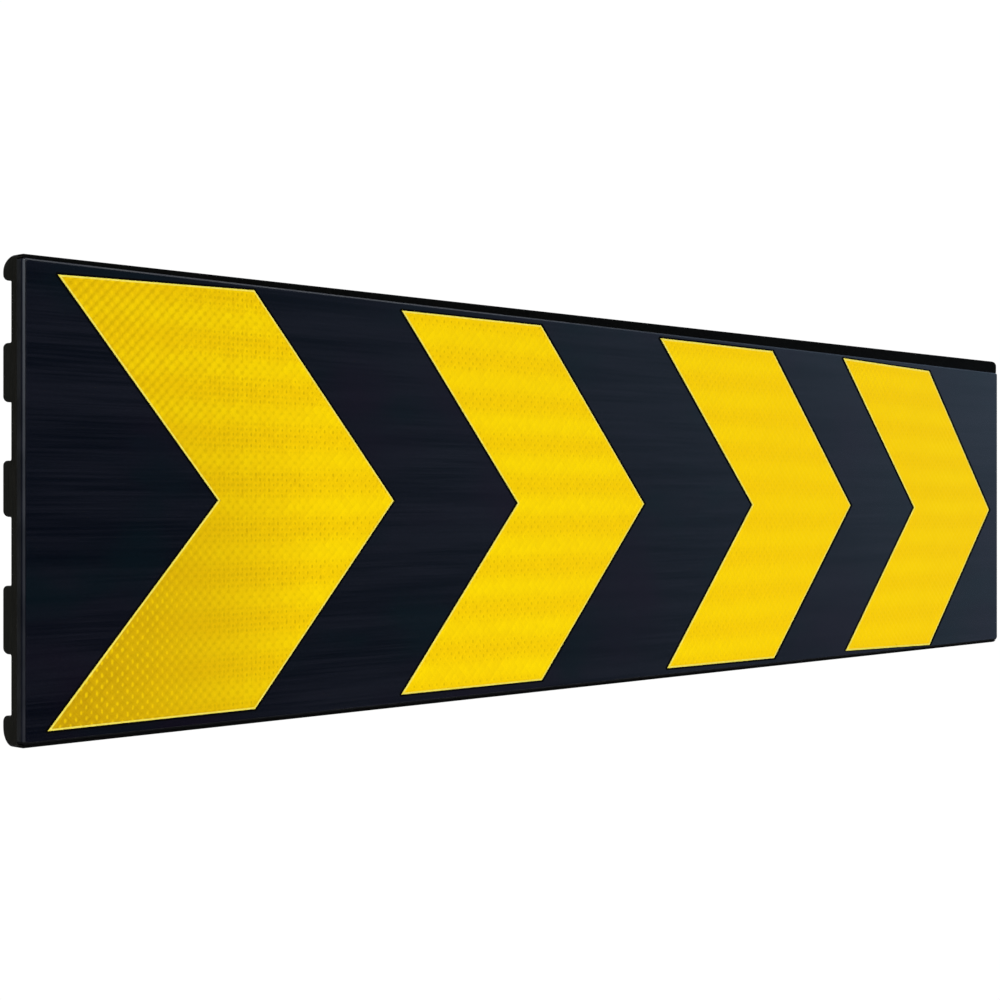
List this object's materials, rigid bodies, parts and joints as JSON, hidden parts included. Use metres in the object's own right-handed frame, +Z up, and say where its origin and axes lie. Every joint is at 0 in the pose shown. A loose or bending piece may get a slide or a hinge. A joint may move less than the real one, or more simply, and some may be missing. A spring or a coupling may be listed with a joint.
{
  "type": "chevron guide board",
  "caption": "Long flat black guide board with yellow reflective arrow bands on its front and a ribbed rubber back, held from behind.",
  "frame": {"origin": "centre of the rear face, on the middle rib, halfway along the board", "axes": "+X along the board towards the arrow tips, +Y out of the rear face, +Z up; the arrows face -Y"},
  "size_m": [1.6, 0.032, 0.4],
  "materials": {
    "black_rubber": "matt black moulded rubber with a fine grain",
    "board_plastic": "satin black plastic board",
    "black_film": "blue-black face film, semi-gloss, faint streaks along its length",
    "yellow_film": "yellow reflective sheeting with a diamond cell pattern, semi-gloss",
    "stainless_screw": "stainless steel, turned",
    "stainless_washer": "stainless steel, stamped",
    "plated_insert": "zinc-plated steel"
  },
  "bodies": {
    "root": {"rubber_back": "black_rubber", "front_board": "board_plastic", "black_sheeting": "black_film", "chevron_1": "yellow_film", "chevron_2": "yellow_film", "chevron_3": "yellow_film", "chevron_4": "yellow_film", "screw_1_1": "stainless_screw", "screw_1_2": "stainless_screw", "screw_1_3": "stainless_screw", "screw_1_4": "stainless_screw", "screw_2_1": "stainless_screw", "screw_2_2": "stainless_screw", "screw_2_3": "stainless_screw", "screw_2_4": "stainless_screw", "screw_3_1": "stainless_screw", "screw_3_2": "stainless_screw", "screw_3_3": "stainless_screw", "screw_3_4": "stainless_screw", "screw_4_1": "stainless_screw", "screw_4_2": "stainless_screw", "screw_4_3": "stainless_screw", "screw_4_4": "stainless_screw", "washer_1_1": "stainless_washer", "washer_1_2": "stainless_washer", "washer_1_3": "stainless_washer", "washer_1_4": "stainless_washer", "washer_2_1": "stainless_washer", "washer_2_2": "stainless_washer", "washer_2_3": "stainless_washer", "washer_2_4": "stainless_washer", "washer_3_1": "stainless_washer", "washer_3_2": "stainless_washer", "washer_3_3": "stainless_washer", "washer_3_4": "stainless_washer", "washer_4_1": "stainless_washer", "washer_4_2": "stainless_washer", "washer_4_3": "stainless_washer", "washer_4_4": "stainless_washer", "insert_upper_left": "plated_insert", "insert_upper_right": "plated_insert", "insert_lower_left": "plated_insert", "insert_lower_right": "plated_insert"}
  },
  "joints": []
}
